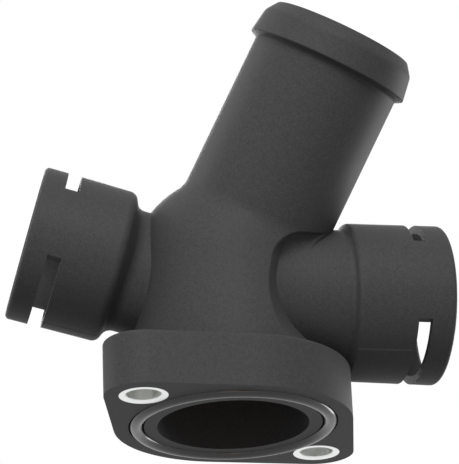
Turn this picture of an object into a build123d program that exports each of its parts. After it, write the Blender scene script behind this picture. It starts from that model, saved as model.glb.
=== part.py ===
from build123d import *
import os
from math import cos, radians, sin, tan

# Coolant flange of an engine's cooling circuit. One moulding in black glass-filled nylon
# carries a two-bolt flange, a slanted hose spigot and two side sockets with clip slots.
# Two steel sleeves take the bolts' load, and a rubber ring seals the flange.
# Millimetres and degrees. The origin is the centre of the bore on the sealing face.
# +Z points up into the body, and +X along the level socket.

# Flange plate
flange_thickness = 10.5
flange_radius = 23.2
flange_edge_round = 0.7
bore_radius = 14.75
bore_depth = 10.0

# Two bolts, on opposite corners, each in a steel sleeve
bolt_circle = 51.0
bolt_angle = 38.0
lobe_radius = 7.5
sleeve_outer_radius = 4.65
sleeve_bore_radius = 3.3
sleeve_edge_chamfer = 0.3
sleeve_fit = 0.02

# Seal ring in its groove
groove_inner_radius = 17.3
groove_outer_radius = 20.3
groove_depth = 1.9
seal_side_clearance = 0.15
seal_floor_clearance = 0.02
seal_nub_length = 3.2
seal_nub_angle = 85.0
seal_nub_clearance = 0.05

# Round body between the flange and the spigot, closed by a dome about the spigot's root
body_radius = 19.35
passage_radius = 12.0
passage_cone_height = 15.5
passage_wall = 1.9

# Hose spigot, leaning to the right and to the front
spigot_root_height = 31.7
spigot_tilt = 34.8
spigot_heading = -46.6
spigot_length = 52.9
spigot_radius = 15.25
spigot_root_blend = 5.0
bead_radius = 16.7
bead_lead_radius = 15.95
bead_length = 7.9
bead_step = 0.7
bead_lead_length = 2.3
bead_end_radius = 14.3
bead_foot_round = 0.6
bead_crest_round = 0.3
spigot_mouth_chamfer = 0.8

# Side sockets, level with each other at their roots, a little below the spigot's root
socket_drop = 5.3
socket_bore_radius = 12.5
socket_bore_depth = 16.0
socket_seat_cone = 1.5
socket_mouth_depth = 8.6
socket_mouth_wall = 1.7
socket_mouth_chamfer = 0.5
socket_draft = 0.7
socket_rim_round = 0.9
slot_width = 2.75

right_socket_radius = 16.0
right_socket_reach = 42.5
right_head_length = 19.35
right_shoulder_round = 0.9
right_shoulder_lean = 32.0
right_neck_radius = 14.4
right_neck_root_round = 1.0
right_neck_passage_radius = 9.6
right_slot_from_mouth = 4.9
right_slot_floor_height = 8.2

left_socket_radius = 15.4
left_socket_reach = 41.5
left_head_length = 18.45
left_shoulder_round = 1.8
left_shoulder_lean = 24.0
left_neck_half_width = 9.5
left_neck_half_height = 12.65
left_neck_root_round = 2.0
left_neck_passage_radius = 7.1
left_slot_from_mouth = 4.6
left_slot_floor_height = 7.2
left_socket_tilt = 14.3

# Relief round the level neck, where the body's skin steps back to it. Its outline stands on
# a plane inside the body, and is drawn out of it to the front, downwards and to the left. It
# is measured from a point on the body's axis, which lies below the spigot's root by the drop.
# Its edges are rounded where they run clear of the neck by the neck margin.
relief_lean = 22.0
relief_slant = 26.6
relief_inside = 6.0
relief_start = 8.4
relief_drop = 31.7
relief_bottom = 12.5
relief_top = 37.7
relief_upper_round = 4.6
relief_lower_round = 18.4
relief_crease_round = 4.0
relief_edge_round = 0.5
neck_margin = 0.1

# Axes and planes of the three branches
spigot_root = (0, 0, spigot_root_height)
spigot_direction = Vector(
    sin(radians(spigot_tilt)) * cos(radians(spigot_heading)),
    sin(radians(spigot_tilt)) * sin(radians(spigot_heading)),
    cos(radians(spigot_tilt)),
)
spigot_side = spigot_direction.cross(Vector(0, 0, 1)).normalized()
spigot_section = Plane(spigot_root, x_dir=spigot_direction, z_dir=spigot_side)

socket_height = spigot_root_height - socket_drop
socket_root = (0, 0, socket_height)
right_section = Plane(socket_root, x_dir=(1, 0, 0), z_dir=(0, -1, 0))
left_direction = (-cos(radians(left_socket_tilt)), 0, sin(radians(left_socket_tilt)))
left_section = Plane(socket_root, x_dir=left_direction, z_dir=(0, 1, 0))
right_neck_section = Plane(socket_root, x_dir=(0, 1, 0), z_dir=(1, 0, 0))
left_neck_section = Plane(socket_root, x_dir=(0, 1, 0), z_dir=left_direction)

relief_outward = Vector(0, -cos(radians(relief_lean)), -sin(radians(relief_lean)))
relief_draw = relief_outward - Vector(tan(radians(relief_slant)), 0, 0)
relief_origin = Vector(0, 0, spigot_root_height - relief_drop)
relief_plane = Plane(relief_origin - relief_draw * relief_inside, x_dir=(1, 0, 0), z_dir=relief_outward)

# Outside of each socket: section plane, reach, head length, head radius, shoulder's round and
# lean, neck's outline, round at the neck's root
socket_outsides = (
    (
        right_section,
        right_socket_reach,
        right_head_length,
        right_socket_radius,
        right_shoulder_round,
        right_shoulder_lean,
        right_neck_section * Circle(right_neck_radius),
        right_neck_root_round,
    ),
    (
        left_section,
        left_socket_reach,
        left_head_length,
        left_socket_radius,
        left_shoulder_round,
        left_shoulder_lean,
        left_neck_section * Ellipse(left_neck_half_width, left_neck_half_height),
        left_neck_root_round,
    ),
)

# Inside of each socket: section plane, reach, head radius, neck passage radius, slot's
# distance from the mouth, slot floor's height over the axis
socket_insides = (
    (
        right_section,
        right_socket_reach,
        right_socket_radius,
        right_neck_passage_radius,
        right_slot_from_mouth,
        right_slot_floor_height,
    ),
    (
        left_section,
        left_socket_reach,
        left_socket_radius,
        left_neck_passage_radius,
        left_slot_from_mouth,
        left_slot_floor_height,
    ),
)


def along(plane):
    """Axis of a branch, from its root along its section plane's own x direction."""
    return Axis(plane.origin, plane.x_dir)


def on_relief_front(edge):
    """Whether an edge lies at the front, and clear of the space that the level neck fills."""
    middle = edge @ 0.5
    neck_distance = Vector(0, middle.Y, middle.Z - socket_height).length
    return middle.Y < 0 and neck_distance > right_neck_radius + neck_margin


# Space that the relief takes out of the skin, at the front and the back of the level neck. It
# leaves the tube wall of the body and of the spigot, and a soft corner between tube and neck.
tube_radius = passage_radius + passage_wall
with BuildPart() as relief:
    with BuildSketch(relief_plane):
        with BuildLine():
            relief_end = 2 * right_socket_reach
            relief_edge = FilletPolyline(
                (relief_end, relief_top),
                (relief_start, relief_top),
                (relief_start, relief_bottom),
                (relief_end, relief_bottom),
                radius=[relief_upper_round, relief_lower_round],
            )
            Line(relief_edge @ 1, relief_edge @ 0)
        make_face()
    extrude(amount=(relief_inside + body_radius) * relief_draw.length, dir=relief_draw.normalized())
    mirror(about=Plane.XZ)
    Cylinder(tube_radius, 4 * relief_top, mode=Mode.SUBTRACT)
    with BuildSketch(Plane(spigot_root, z_dir=spigot_direction)):
        Circle(tube_radius)
    extrude(amount=spigot_length, mode=Mode.SUBTRACT)
    with BuildSketch(Plane.YZ):
        with Locations((0, socket_height)):
            Circle(right_neck_radius)
    extrude(amount=2 * right_socket_reach, mode=Mode.SUBTRACT)
    front_crease_place = (passage_radius, -passage_radius, spigot_root_height)
    front_crease = relief.edges(Select.NEW).sort_by_distance(front_crease_place)[0]
    fillet(front_crease, relief_crease_round)


# Flange plate: a disc with a lobe round each bolt, and a softened top edge
with BuildPart() as plate:
    with BuildSketch():
        Circle(flange_radius)
        with PolarLocations(bolt_circle / 2, 2, start_angle=bolt_angle):
            Circle(lobe_radius)
        make_hull()
    extrude(amount=flange_thickness)
    fillet(plate.faces().sort_by(Axis.Z)[-1].edges(), flange_edge_round)


# Outside of the side sockets: a wide head with a leaning shoulder, on a neck that runs into it
# softly
socket_bodies = []
for section, reach, head_length, head_radius, crest_round, lean, neck, root_round in socket_outsides:
    shoulder = reach - head_length
    shoulder_radius = head_radius - head_length * sin(radians(socket_draft))
    shoulder_start = shoulder - shoulder_radius * tan(radians(lean))
    with BuildPart() as socket_body:
        with BuildSketch(section):
            with BuildLine():
                outline = FilletPolyline(
                    (shoulder_start, 0),
                    (shoulder, shoulder_radius),
                    (reach, head_radius),
                    (reach, 0),
                    radius=[crest_round, socket_rim_round],
                )
                Line(outline @ 1, outline @ 0)
            make_face()
        revolve(axis=along(section))
        extrude(neck, amount=shoulder)
        neck_root = socket_body.edges(Select.NEW).sort_by(along(section))[-1]
        fillet(neck_root, root_round)
    socket_bodies.append(socket_body.part)


with BuildPart() as housing:
    # Round body with its dome
    with BuildSketch(Plane.XZ):
        with BuildLine():
            dome = CenterArc((0, spigot_root_height), body_radius, 0, 90)
            Polyline(dome @ 1, (0, 0), (body_radius, 0), dome @ 0)
        make_face()
    revolve(axis=Axis.Z)

    # Hose spigot with its bead, on the slanted axis
    with BuildSketch(spigot_section):
        with BuildLine():
            bead_start = spigot_length - bead_length
            outline = FilletPolyline(
                (0, spigot_radius),
                (bead_start, spigot_radius),
                (bead_start + bead_step, bead_radius),
                (spigot_length - bead_lead_length, bead_lead_radius),
                (spigot_length, bead_end_radius),
                (spigot_length, 0),
                radius=[bead_foot_round, bead_crest_round, bead_lead_length, bead_crest_round],
            )
            Polyline(outline @ 1, (0, 0), outline @ 0)
        make_face()
    revolve(axis=along(spigot_section))
    fillet(housing.edges(Select.NEW), spigot_root_blend)

    # Relief round the level neck, with a softened front edge, then the flange plate
    add(relief.part, mode=Mode.SUBTRACT)
    fillet(housing.edges(Select.NEW).filter_by(on_relief_front), relief_edge_round)
    add(plate.part)

    # Side sockets
    add(socket_bodies)

    # Bore of the flange, narrowing to the passage that turns into the spigot
    with BuildSketch(Plane.XZ):
        with BuildLine():
            bore_wall = Polyline(
                (0, 0),
                (bore_radius, 0),
                (bore_radius, bore_depth),
                (passage_radius, passage_cone_height),
                (passage_radius, spigot_root_height),
            )
            crown = CenterArc((0, spigot_root_height), passage_radius, 0, 90)
            Line(crown @ 1, bore_wall @ 0)
        make_face()
    revolve(axis=Axis.Z, mode=Mode.SUBTRACT)
    with BuildSketch(spigot_section):
        with BuildLine():
            Polyline(
                (0, 0),
                (0, passage_radius),
                (spigot_length - spigot_mouth_chamfer, passage_radius),
                (spigot_length, passage_radius + spigot_mouth_chamfer),
                (spigot_length, 0),
                close=True,
            )
        make_face()
    revolve(axis=along(spigot_section), mode=Mode.SUBTRACT)

    # Stepped bore of each socket, and two slots across its thin mouth for a wire clip
    for section, reach, head_radius, neck_passage_radius, slot_from_mouth, floor_height in socket_insides:
        seat = reach - socket_bore_depth
        mouth_radius = head_radius - socket_mouth_wall
        slot_middle = reach - slot_from_mouth - slot_width / 2
        with BuildSketch(section):
            with BuildLine():
                Polyline(
                    (0, 0),
                    (0, neck_passage_radius),
                    (seat, neck_passage_radius),
                    (seat + socket_seat_cone, socket_bore_radius),
                    (reach - socket_mouth_depth, socket_bore_radius),
                    (reach - socket_mouth_depth, mouth_radius),
                    (reach - socket_mouth_chamfer, mouth_radius),
                    (reach, mouth_radius + socket_mouth_chamfer),
                    (reach, 0),
                    close=True,
                )
            make_face()
        revolve(axis=along(section), mode=Mode.SUBTRACT)
        with BuildSketch(section):
            with Locations((slot_middle, floor_height)):
                Rectangle(slot_width, head_radius, align=(Align.CENTER, Align.MIN))
            with Locations((slot_middle, -floor_height)):
                Rectangle(slot_width, head_radius, align=(Align.CENTER, Align.MAX))
        extrude(amount=head_radius, both=True, mode=Mode.SUBTRACT)

    # Groove for the seal ring
    with BuildSketch():
        Circle(groove_outer_radius)
        Circle(groove_inner_radius, mode=Mode.SUBTRACT)
    extrude(amount=groove_depth, mode=Mode.SUBTRACT)

    # Holes that the bolt sleeves are moulded into
    with BuildSketch():
        with PolarLocations(bolt_circle / 2, 2, start_angle=bolt_angle):
            Circle(sleeve_outer_radius + sleeve_fit)
    extrude(amount=flange_thickness, mode=Mode.SUBTRACT)


# Rubber ring, standing proud of the sealing face, with two nubs that hold it in the groove
seal_section_radius = (groove_outer_radius - groove_inner_radius) / 2 - seal_side_clearance
seal_middle_radius = (groove_outer_radius + groove_inner_radius) / 2
seal_middle_height = groove_depth - seal_floor_clearance - seal_section_radius
with BuildPart() as seal_ring:
    with BuildSketch(Plane.XZ):
        with Locations((seal_middle_radius, seal_middle_height)):
            Circle(seal_section_radius)
    revolve(axis=Axis.Z)
    with BuildSketch(Plane.XY.rotated((0, 0, seal_nub_angle))):
        Circle(groove_outer_radius - seal_nub_clearance)
        Circle(groove_inner_radius + seal_nub_clearance, mode=Mode.SUBTRACT)
        Rectangle(2 * groove_outer_radius, seal_nub_length, mode=Mode.INTERSECT)
    extrude(amount=seal_middle_height)


# Steel sleeves in the flange's two bolt holes
sleeves = {}
for name, turn in (("bolt_sleeve_front", 180), ("bolt_sleeve_rear", 0)):
    with BuildPart() as sleeve:
        with BuildSketch():
            with PolarLocations(bolt_circle / 2, 1, start_angle=bolt_angle + turn):
                Circle(sleeve_outer_radius)
                Circle(sleeve_bore_radius, mode=Mode.SUBTRACT)
        extrude(amount=flange_thickness)
        rims = sleeve.edges().filter_by(GeomType.CIRCLE)
        chamfer(rims.group_by(SortBy.RADIUS)[0], sleeve_edge_chamfer)
    sleeves[name] = sleeve.part


os.makedirs("parts", exist_ok=True)
housing.part.label = "housing"
export_step(housing.part, "parts/housing.step")
seal_ring.part.label = "seal_ring"
export_step(seal_ring.part, "parts/seal_ring.step")
for name, sleeve_part in sleeves.items():
    sleeve_part.label = name
    export_step(sleeve_part, f"parts/{name}.step")
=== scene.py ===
from math import pi, radians

import bmesh
import bpy
from mathutils import Matrix, Vector

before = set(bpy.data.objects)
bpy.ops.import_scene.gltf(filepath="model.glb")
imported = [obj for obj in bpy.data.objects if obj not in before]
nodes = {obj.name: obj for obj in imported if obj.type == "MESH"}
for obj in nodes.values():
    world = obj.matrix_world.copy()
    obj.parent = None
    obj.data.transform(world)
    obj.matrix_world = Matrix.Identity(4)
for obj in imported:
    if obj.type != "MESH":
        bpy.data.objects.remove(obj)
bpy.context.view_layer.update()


# Housing: one moulding in black glass-filled nylon, carrying the flange, the hose spigot and
# the two clip sockets. The mould is spark-eroded, so the skin has a fine dull grain, and the
# short glass fibres near the skin give it a faint grey mottle.
def linear(hex_colour):
    """A colour written as sRGB hex, as Blender's linear values."""
    values = [int(hex_colour[i:i + 2], 16) / 255 for i in (1, 3, 5)]
    return [v / 12.92 if v <= 0.04045 else ((v + 0.055) / 1.055) ** 2.4 for v in values] + [1]


def add_node(material, kind, settings=(), **inputs):
    """Adds one node and sets its properties. Sets or links its inputs, by name or, as i0, by number."""
    node = material.node_tree.nodes.new(kind)
    for name, value in dict(settings).items():
        setattr(node, name, value)
    for name, value in inputs.items():
        if name[0] == "i" and name[1:].isdigit():
            socket = node.inputs[int(name[1:])]
        else:
            socket = node.inputs[name.replace("_", " ")]
        if isinstance(value, bpy.types.NodeSocket):
            material.node_tree.links.new(value, socket)
        else:
            socket.default_value = value
    return node


def new_material(name):
    """An empty node material, with its Object coordinates."""
    material = bpy.data.materials.new(name)
    material.use_nodes = True
    material.node_tree.nodes.clear()
    place = add_node(material, "ShaderNodeTexCoord").outputs["Object"]
    return material, place


def finish_material(material, shader):
    """Links the shader to the material's output."""
    add_node(material, "ShaderNodeOutputMaterial", Surface=shader.outputs["BSDF"])


def dress(node, material):
    """Gives a CAD node its material."""
    piece = nodes[node]
    piece.data.materials.clear()
    piece.data.materials.append(material)


# Black nylon with glass in it is a dark grey to the eye. The mottle and the grain run from the
# darker to the lighter, and the grain shows the more of the two.
nylon_dark = "#383839"
nylon_light = "#474748"
grain_share = 0.75
darkest_noise = 0.3
lightest_noise = 0.7
nylon_mottle_mm = 1.0
# The eroded grain is about 0.1 mm, too fine to show, so it is drawn three times coarser.
nylon_grain_mm = 0.3
grain_depth_mm = 0.06
# A slide of the mould forms the underside of the level socket and leaves a fine raised seam;
# its pale line is a painted highlight on the ridge. The mould's halves part along the middle of
# the other socket and leave a narrow step under its head; its dark line is painted shadow.
# Colour of the painted highlight along the slide seam.
slide_seam_highlight_colour = "#525252"
slide_seam_height_mm = 13.3
slide_seam_half_width_mm = 0.14
slide_seam_ends_mm = (23.6, 34.2)
# Colour of the painted shadow under the step of the mould's halves.
half_seam_shadow_colour = "#1c1c1c"
half_seam_half_width_mm = 0.38
half_seam_ends_mm = (-39.5, -26.4)
half_seam_top_mm = 28.0

nylon, place = new_material("moulded_glass_filled_nylon")
mottle = add_node(
    nylon,
    "ShaderNodeTexNoise",
    Vector=place,
    Scale=1000 / nylon_mottle_mm,
    Detail=3.0,
    Roughness=0.6,
)
grain = add_node(
    nylon,
    "ShaderNodeTexNoise",
    Vector=place,
    Scale=1000 / nylon_grain_mm,
    Detail=2.0,
    Roughness=0.5,
)
speckle = add_node(
    nylon,
    "ShaderNodeMix",
    {"data_type": "FLOAT"},
    Factor=grain_share,
    A=mottle.outputs["Fac"],
    B=grain.outputs["Fac"],
)
speckle_colour = add_node(nylon, "ShaderNodeValToRGB", Fac=speckle.outputs["Result"])
speckle_colour.color_ramp.elements[0].position = darkest_noise
speckle_colour.color_ramp.elements[0].color = linear(nylon_dark)
speckle_colour.color_ramp.elements[1].position = lightest_noise
speckle_colour.color_ramp.elements[1].color = linear(nylon_light)

place_parts = add_node(nylon, "ShaderNodeSeparateXYZ", Vector=place)
slide_offset = add_node(
    nylon,
    "ShaderNodeMath",
    {"operation": "SUBTRACT"},
    i0=place_parts.outputs["Z"],
    i1=slide_seam_height_mm / 1000,
)
# Masks for the two seam lines: painted highlight on the slide seam, painted shadow under the halves'
# step.
painted_seam_masks = []
for offset, half_width_mm, ends_mm in (
    (slide_offset.outputs["Value"], slide_seam_half_width_mm, slide_seam_ends_mm),
    (place_parts.outputs["Y"], half_seam_half_width_mm, half_seam_ends_mm),
):
    distance = add_node(nylon, "ShaderNodeMath", {"operation": "ABSOLUTE"}, i0=offset)
    line = add_node(
        nylon,
        "ShaderNodeMapRange",
        Value=distance.outputs["Value"],
        From_Min=half_width_mm / 2000,
        From_Max=half_width_mm / 1000,
        To_Min=1.0,
        To_Max=0.0,
    )
    along = add_node(
        nylon,
        "ShaderNodeMath",
        {"operation": "COMPARE"},
        i0=place_parts.outputs["X"],
        i1=sum(ends_mm) / 2000,
        i2=(ends_mm[1] - ends_mm[0]) / 2000,
    )
    painted_seam_masks.append(
        add_node(
            nylon,
            "ShaderNodeMath",
            {"operation": "MULTIPLY"},
            i0=line.outputs["Result"],
            i1=along.outputs["Value"],
        )
    )
underside = add_node(
    nylon,
    "ShaderNodeMath",
    {"operation": "LESS_THAN"},
    i0=place_parts.outputs["Z"],
    i1=half_seam_top_mm / 1000,
)
half_seam_shadow_mask = add_node(
    nylon,
    "ShaderNodeMath",
    {"operation": "MULTIPLY"},
    i0=painted_seam_masks[1].outputs["Value"],
    i1=underside.outputs["Value"],
)
# Paints the highlight along the slide seam.
colour_with_painted_highlight = add_node(
    nylon,
    "ShaderNodeMixRGB",
    Fac=painted_seam_masks[0].outputs["Value"],
    Color1=speckle_colour.outputs["Color"],
    Color2=linear(slide_seam_highlight_colour),
)
# Paints the shadow under the step of the mould's halves.
nylon_colour_with_painted_seams = add_node(
    nylon,
    "ShaderNodeMixRGB",
    Fac=half_seam_shadow_mask.outputs["Value"],
    Color1=colour_with_painted_highlight.outputs["Color"],
    Color2=linear(half_seam_shadow_colour),
)
grain_bump = add_node(
    nylon,
    "ShaderNodeBump",
    Strength=0.35,
    Distance=grain_depth_mm / 1000,
    Height=grain.outputs["Fac"],
)
grain_gloss = add_node(
    nylon,
    "ShaderNodeMapRange",
    Value=grain.outputs["Fac"],
    To_Min=0.5,
    To_Max=0.64,
)
nylon_shader = add_node(
    nylon,
    "ShaderNodeBsdfPrincipled",
    Base_Color=nylon_colour_with_painted_seams.outputs["Color"],
    Roughness=grain_gloss.outputs["Result"],
    IOR=1.53,
    Specular_IOR_Level=0.1,
    Normal=grain_bump.outputs["Normal"],
)
finish_material(nylon, nylon_shader)
dress("housing", nylon)


# Seal ring: an O-ring with two small nubs, moulded in black EPDM rubber. It is smooth, with a
# soft sheen and a faint grey bloom, and sits in the groove of the flange.
rubber_colour = "#121212"
rubber_bloom_colour = "#1b1b1a"
rubber_bloom_mm = 2.5

rubber, place = new_material("moulded_epdm_rubber")
bloom = add_node(
    rubber,
    "ShaderNodeTexNoise",
    Vector=place,
    Scale=1000 / rubber_bloom_mm,
    Detail=3.0,
)
rubber_gloss = add_node(
    rubber,
    "ShaderNodeMapRange",
    Value=bloom.outputs["Fac"],
    To_Min=0.17,
    To_Max=0.25,
)
rubber_tone = add_node(
    rubber,
    "ShaderNodeMixRGB",
    Fac=bloom.outputs["Fac"],
    Color1=linear(rubber_colour),
    Color2=linear(rubber_bloom_colour),
)
rubber_shader = add_node(
    rubber,
    "ShaderNodeBsdfPrincipled",
    Base_Color=rubber_tone.outputs["Color"],
    Roughness=rubber_gloss.outputs["Result"],
    IOR=1.52,
)
finish_material(rubber, rubber_shader)
dress("seal_ring", rubber)


# Bolt sleeves: two short steel tubes moulded into the flange, which take the bolts' load.
# They are turned, then zinc plated, so their ends are bright, with fine rings round the bore.
# The drilled bore is duller, with cloudy patches where the plating lies thicker or thinner.
zinc_colour = "#e4e6e5"
zinc_bore_colour = "#dadcd9"
bore_cloud_mm = 1.6
sleeve_centre_mm = (20.094, 15.699)
bore_radius_mm = 3.3
edge_chamfer_mm = 0.3
# The tool's marks are about 0.1 mm apart, too fine to show, so they are drawn coarser.
turning_ring_mm = 0.4
turning_depth_mm = 0.02

zinc, place = new_material("zinc_plated_turned_steel")
# The sleeves are on opposite corners, so one centre serves both once the signs are dropped.
from_origin = add_node(zinc, "ShaderNodeVectorMath", {"operation": "ABSOLUTE"}, Vector=place)
from_centre = add_node(
    zinc,
    "ShaderNodeVectorMath",
    {"operation": "SUBTRACT"},
    i0=from_origin.outputs["Vector"],
    i1=(sleeve_centre_mm[0] / 1000, sleeve_centre_mm[1] / 1000, 0),
)
# With its Z dropped, the vector's length is the distance from the sleeve's axis.
across = add_node(
    zinc,
    "ShaderNodeVectorMath",
    {"operation": "MULTIPLY"},
    i0=from_centre.outputs["Vector"],
    i1=(1, 1, 0),
)
radius = add_node(zinc, "ShaderNodeVectorMath", {"operation": "LENGTH"}, i0=across.outputs["Vector"])
ring_turns = add_node(
    zinc,
    "ShaderNodeMath",
    {"operation": "MULTIPLY"},
    i0=radius.outputs["Value"],
    i1=2 * pi * 1000 / turning_ring_mm,
)
rings = add_node(zinc, "ShaderNodeMath", {"operation": "SINE"}, i0=ring_turns.outputs["Value"])
rings_bump = add_node(
    zinc,
    "ShaderNodeBump",
    Strength=0.3,
    Distance=turning_depth_mm / 1000,
    Height=rings.outputs["Value"],
)
end_face = add_node(
    zinc,
    "ShaderNodeMapRange",
    Value=radius.outputs["Value"],
    From_Min=bore_radius_mm / 1000,
    From_Max=(bore_radius_mm + edge_chamfer_mm) / 1000,
)
zinc_tone = add_node(
    zinc,
    "ShaderNodeMixRGB",
    Fac=end_face.outputs["Result"],
    Color1=linear(zinc_bore_colour),
    Color2=linear(zinc_colour),
)
bore_clouds = add_node(zinc, "ShaderNodeTexNoise", Vector=place, Scale=1000 / bore_cloud_mm, Detail=2.0)
bore_gloss = add_node(
    zinc,
    "ShaderNodeMapRange",
    Value=bore_clouds.outputs["Fac"],
    From_Min=0.35,
    From_Max=0.65,
    To_Min=0.35,
    To_Max=0.65,
)
zinc_gloss = add_node(
    zinc,
    "ShaderNodeMapRange",
    Value=end_face.outputs["Result"],
    To_Min=bore_gloss.outputs["Result"],
    To_Max=0.28,
)
zinc_shader = add_node(
    zinc,
    "ShaderNodeBsdfPrincipled",
    Base_Color=zinc_tone.outputs["Color"],
    Metallic=1.0,
    Roughness=zinc_gloss.outputs["Result"],
    Normal=rings_bump.outputs["Normal"],
)
finish_material(zinc, zinc_shader)
dress("bolt_sleeve_front", zinc)
dress("bolt_sleeve_rear", zinc)


# Floor: a plain pale sheet under the flange. The camera is below it, so it shows only from
# above, and stops no light on its way to the sealing face.
floor_colour = "#f4f4f4"
floor_half_width = 0.6
floor_drop = 0.0009

floor_paint, place = new_material("pale_floor")
seen = add_node(floor_paint, "ShaderNodeLightPath").outputs["Is Camera Ray"]
from_below = add_node(floor_paint, "ShaderNodeNewGeometry").outputs["Backfacing"]
from_above = add_node(floor_paint, "ShaderNodeMath", {"operation": "SUBTRACT"}, i0=seen, i1=from_below)
floor_clear = add_node(floor_paint, "ShaderNodeBsdfTransparent")
floor_matt = add_node(floor_paint, "ShaderNodeBsdfDiffuse", Color=linear(floor_colour))
floor_shader = add_node(
    floor_paint,
    "ShaderNodeMixShader",
    Fac=from_above.outputs["Value"],
    i1=floor_clear.outputs["BSDF"],
    i2=floor_matt.outputs["BSDF"],
)
add_node(floor_paint, "ShaderNodeOutputMaterial", Surface=floor_shader.outputs["Shader"])

floor_bm = bmesh.new()
bmesh.ops.create_grid(
    floor_bm,
    x_segments=1,
    y_segments=1,
    size=floor_half_width,
    matrix=Matrix.Translation((0, 0, -floor_drop)),
)
floor_mesh = bpy.data.meshes.new("floor")
floor_bm.to_mesh(floor_mesh)
floor_bm.free()
floor_mesh.materials.append(floor_paint)
floor = bpy.data.objects.new("floor", floor_mesh)
bpy.context.scene.collection.objects.link(floor)


# Light: a pale room all round, a soft lamp in front and above with a weaker one on its left, one
# behind each side, which draws a thin light edge there, and one for the back. A weak warm lamp
# stands for the light that a table sends up.
# Camera, glossy and see-through rays meet the room as white, and it lights the part weakly.
world_strength = 0.23
lamp_side_m = 0.35
lamp_aim_m = (0, 0, 0.035)
world = bpy.data.worlds.new("pale_room")
world.use_nodes = True
world.node_tree.nodes.clear()
rays = add_node(world, "ShaderNodeLightPath")
seen_or_through = add_node(
    world,
    "ShaderNodeMath",
    {"operation": "MAXIMUM"},
    i0=rays.outputs["Is Camera Ray"],
    i1=rays.outputs["Is Transmission Ray"],
)
shown = add_node(
    world,
    "ShaderNodeMath",
    {"operation": "MAXIMUM"},
    i0=seen_or_through.outputs["Value"],
    i1=rays.outputs["Is Glossy Ray"],
)
room_strength = add_node(
    world,
    "ShaderNodeMapRange",
    Value=shown.outputs["Value"],
    To_Min=world_strength,
    To_Max=1.0,
)
room = add_node(
    world,
    "ShaderNodeBackground",
    Color=(1, 1, 1, 1),
    Strength=room_strength.outputs["Result"],
)
add_node(world, "ShaderNodeOutputWorld", Surface=room.outputs["Background"])
bpy.context.scene.world = world


def soft_lamp(name, place_m, power_w, colour):
    """A square area lamp that points at the middle of the body."""
    data = bpy.data.lights.new(name, "AREA")
    data.size = lamp_side_m
    data.energy = power_w
    data.color = linear(colour)[:3]
    lamp = bpy.data.objects.new(name, data)
    turn = (Vector(lamp_aim_m) - Vector(place_m)).to_track_quat("-Z", "Y")
    lamp.matrix_world = Matrix.Translation(place_m) @ turn.to_matrix().to_4x4()
    bpy.context.scene.collection.objects.link(lamp)


soft_lamp("front_lamp", (-0.053, -0.604, 0.385), 3.7, "#ffffff")
soft_lamp("front_left_lamp", (-0.465, -0.465, 0.274), 1.1, "#ffffff")
soft_lamp("left_edge_lamp", (-0.525, 0.303, 0.385), 1.5, "#ffffff")
soft_lamp("right_edge_lamp", (0.634, 0.296, 0.035), 2.2, "#ffffff")
soft_lamp("back_lamp", (0.05, 0.62, 0.33), 2.2, "#ffffff")
soft_lamp("table_glow", (-0.05, -0.573, -0.367), 0.25, "#ffc8a0")
bpy.context.scene.view_settings.view_transform = "Standard"


# Camera: below the flange and a little to its left, looking up, as the photo was taken.
camera_place_m = (-0.09002, -0.42689, -0.14561)
camera_turn_deg = (113.133, 2.159, -11.089)
camera_lens_mm = 186.04
sensor_width_mm = 36.0

camera_data = bpy.data.cameras.new("camera")
camera_data.sensor_fit = "HORIZONTAL"
camera_data.sensor_width = sensor_width_mm
camera_data.lens = camera_lens_mm
camera_data.clip_start = 0.01
camera = bpy.data.objects.new("camera", camera_data)
camera.location = camera_place_m
camera.rotation_euler = [radians(angle) for angle in camera_turn_deg]
bpy.context.scene.collection.objects.link(camera)
bpy.context.scene.camera = camera
